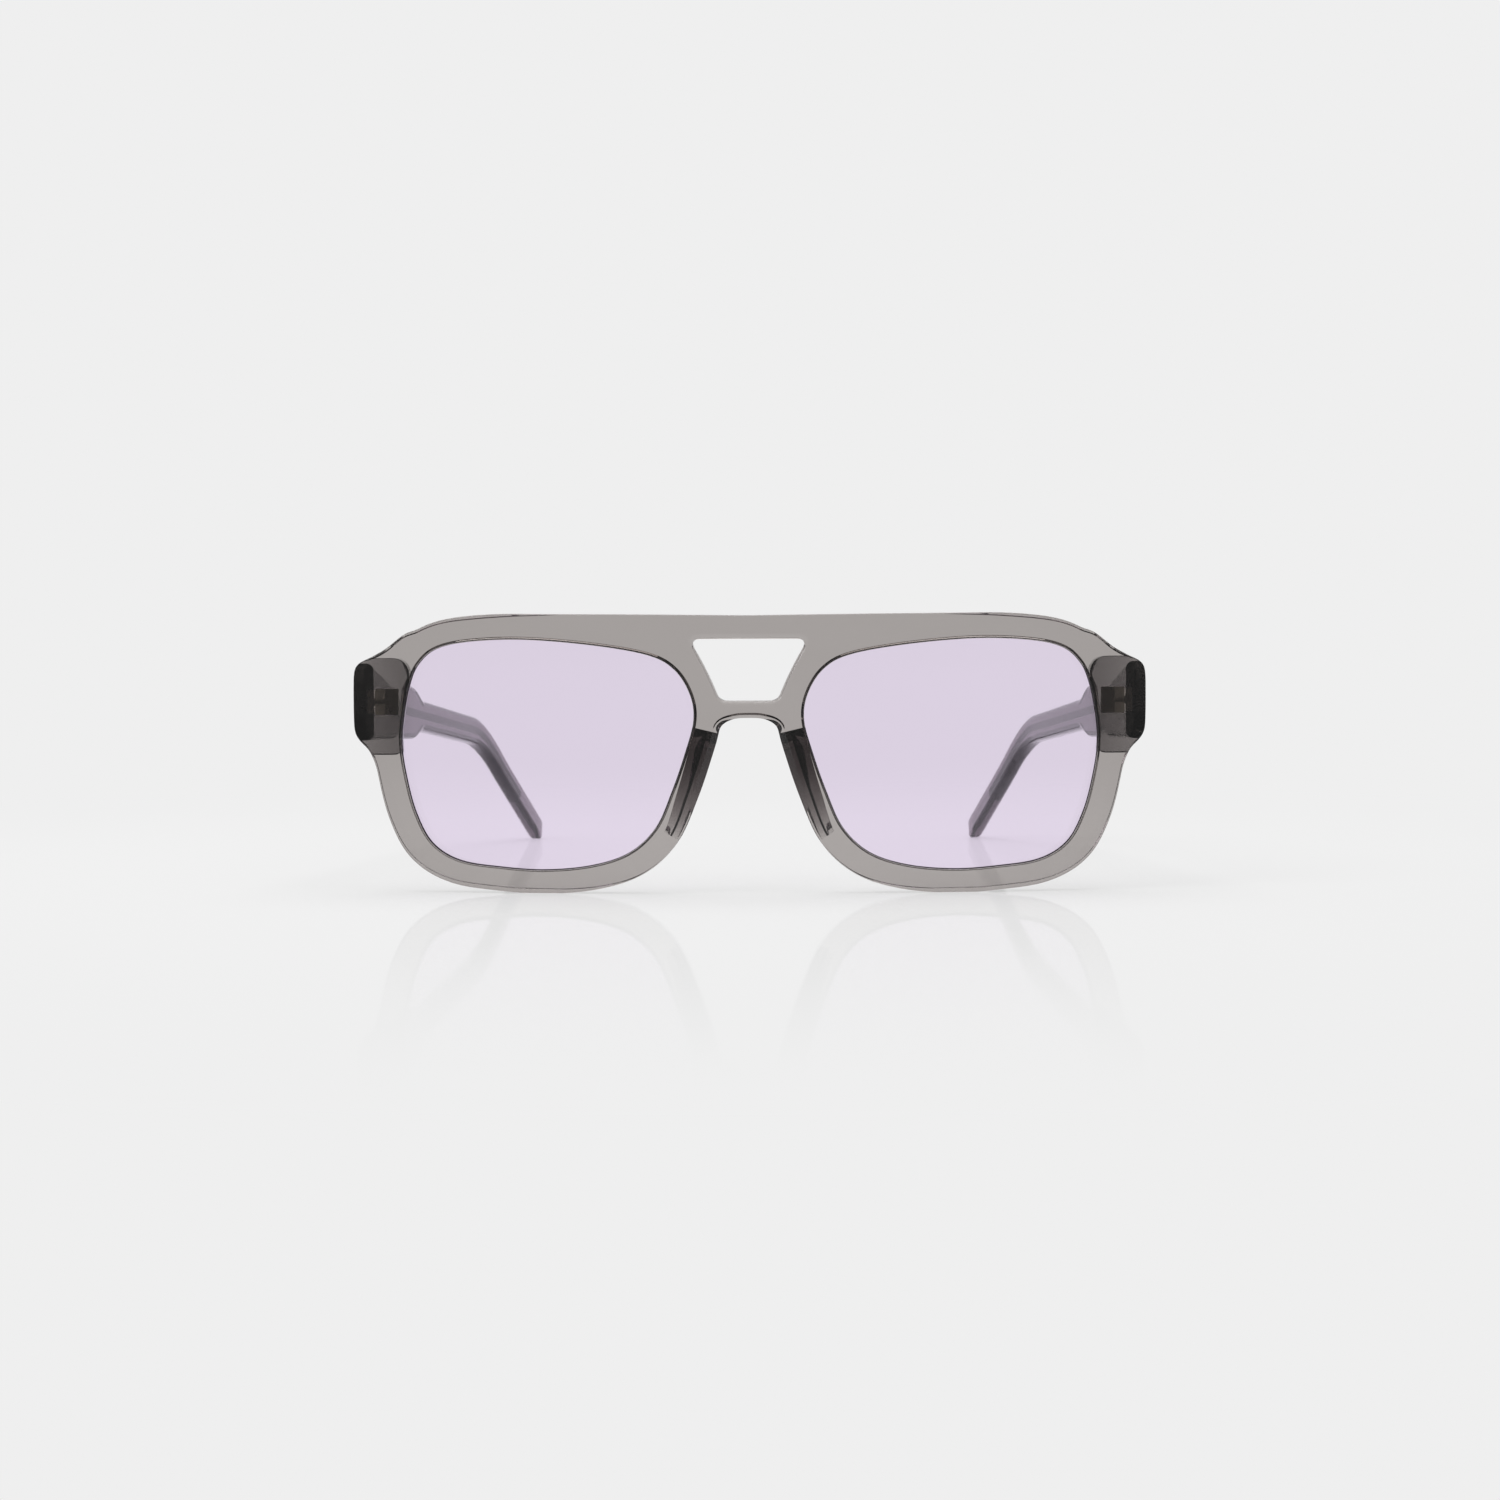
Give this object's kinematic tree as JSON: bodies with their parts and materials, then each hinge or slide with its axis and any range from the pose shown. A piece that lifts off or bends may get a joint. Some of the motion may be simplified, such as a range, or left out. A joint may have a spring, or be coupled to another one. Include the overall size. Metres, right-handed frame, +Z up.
{
  "type": "sunglasses",
  "caption": "Square sunglasses with a translucent grey acetate frame, a double bridge, lilac lenses and folding temples.",
  "frame": {"origin": "on the surface that the open glasses stand on, below the middle of their box", "axes": "+Z up, the front faces -Y, +X towards the wearer's left; rims and temple tips stand on Z = 0"},
  "size_m": [0.1452, 0.1446, 0.0507],
  "materials": {
    "acetate": "polished translucent grey acetate",
    "lens_tint": "polished lilac tint",
    "hinge_metal": "satin nickel silver",
    "screw_metal": "turned steel",
    "core_metal": "drawn flat wire"
  },
  "bodies": {
    "front_frame": {"front": "acetate", "lens_left": "lens_tint", "lens_right": "lens_tint", "nose_pad_left": "acetate", "nose_pad_right": "acetate", "end_block_left": "acetate", "end_block_right": "acetate", "front_hinge_left": "hinge_metal", "front_hinge_right": "hinge_metal", "hinge_screw_left": "screw_metal", "hinge_screw_right": "screw_metal"},
    "left_temple": {"temple_left": "acetate", "temple_hinge_left": "hinge_metal", "core_wire_left": "core_metal"},
    "right_temple": {"temple_right": "acetate", "temple_hinge_right": "hinge_metal", "core_wire_right": "core_metal"}
  },
  "joints": [
    {"name": "left_temple_fold", "type": "hinge", "parent": "front_frame", "child": "left_temple", "pos_m": [0.0655, -0.05596, 0.03465], "axis": [0, 0, 1], "range_deg": [0, 84]},
    {"name": "right_temple_fold", "type": "hinge", "parent": "front_frame", "child": "right_temple", "pos_m": [-0.0655, -0.05596, 0.03465], "axis": [0, 0, -1], "range_deg": [0, 77]}
  ]
}
